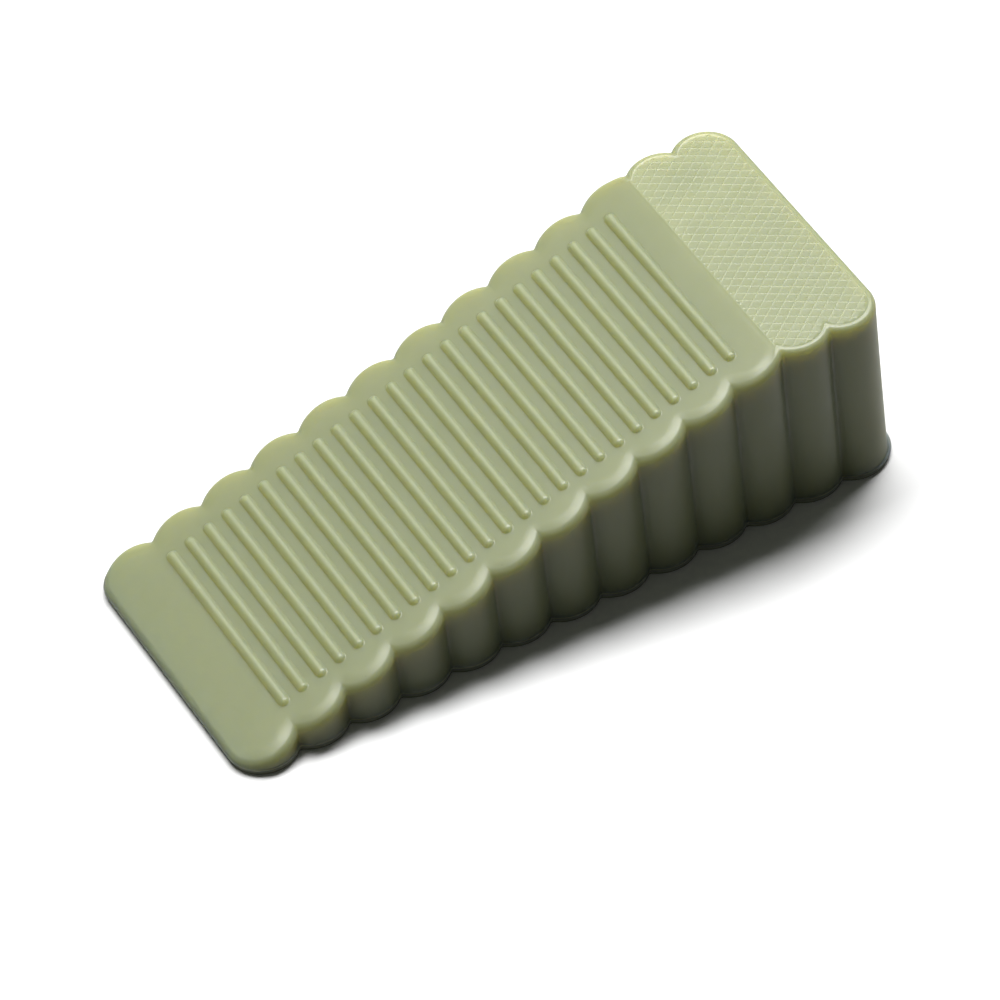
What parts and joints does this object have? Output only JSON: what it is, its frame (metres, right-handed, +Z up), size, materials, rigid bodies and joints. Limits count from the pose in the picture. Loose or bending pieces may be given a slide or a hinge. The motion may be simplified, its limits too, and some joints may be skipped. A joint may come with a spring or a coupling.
{
  "type": "door wedge",
  "caption": "Soft moulded door wedge with scalloped sides, half-round ribs across the slope, a cross-hatched level heel platform and a thin anti-slip sole.",
  "frame": {"origin": "middle of the footprint, on the floor", "axes": "+X from the thin toe to the tall heel, +Z up, +Y across the wedge; the XZ plane is its plane of symmetry"},
  "size_m": [0.1206, 0.0518, 0.035],
  "materials": {
    "wedge_rubber": "satin, slightly translucent sage green",
    "sole_rubber": "matt, darker sage green"
  },
  "bodies": {
    "root": {"wedge_body": "wedge_rubber", "grip_sole": "sole_rubber"}
  },
  "joints": []
}
